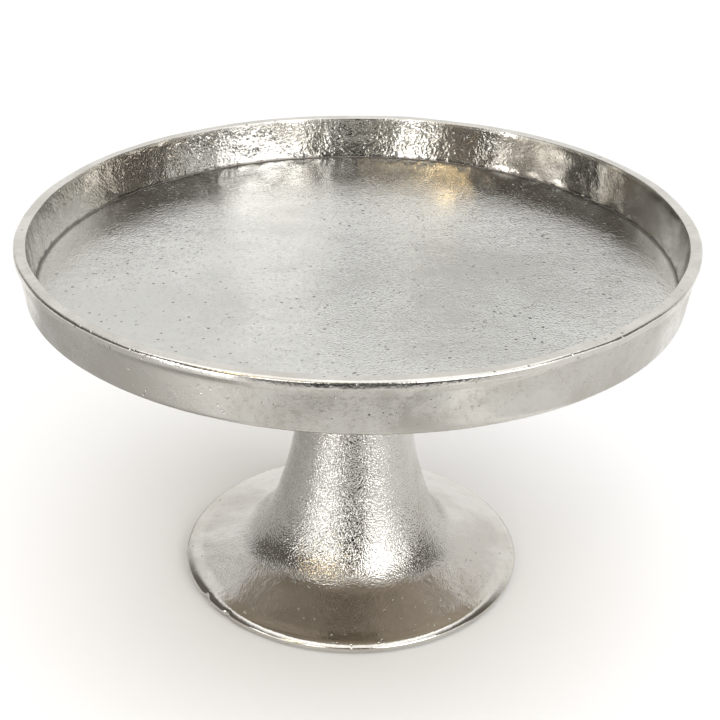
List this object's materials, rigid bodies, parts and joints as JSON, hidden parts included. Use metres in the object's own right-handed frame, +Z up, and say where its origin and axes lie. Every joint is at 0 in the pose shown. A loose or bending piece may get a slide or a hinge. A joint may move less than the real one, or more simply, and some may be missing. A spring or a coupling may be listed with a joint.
{
  "type": "cake stand",
  "caption": "Round rimmed cast-metal cake stand on a trumpet-shaped hollow pedestal, clamped by a central stud and nut from beneath, with felt pads under the foot.",
  "frame": {"origin": "on the table surface, under the centre of the tray, at the underside of the felt pads", "axes": "+Z up along the stand's own axis; the part is round, so +X and +Y are arbitrary and -Y is the side the picture was taken from"},
  "size_m": [0.3048, 0.3046, 0.181],
  "materials": {
    "cast_nickel": "raw nickel plate over sand-cast aluminium, buffed on the rim and rough inside",
    "zinc_steel": "bright zinc-plated steel fasteners",
    "felt": "dense charcoal wool felt"
  },
  "bodies": {
    "root": {"tray": "cast_nickel", "pedestal": "cast_nickel", "threaded_stud": "zinc_steel", "flat_washer": "zinc_steel", "spring_washer": "zinc_steel", "hex_nut": "zinc_steel", "felt_pad_1": "felt", "felt_pad_2": "felt", "felt_pad_3": "felt", "felt_pad_4": "felt"}
  },
  "joints": []
}
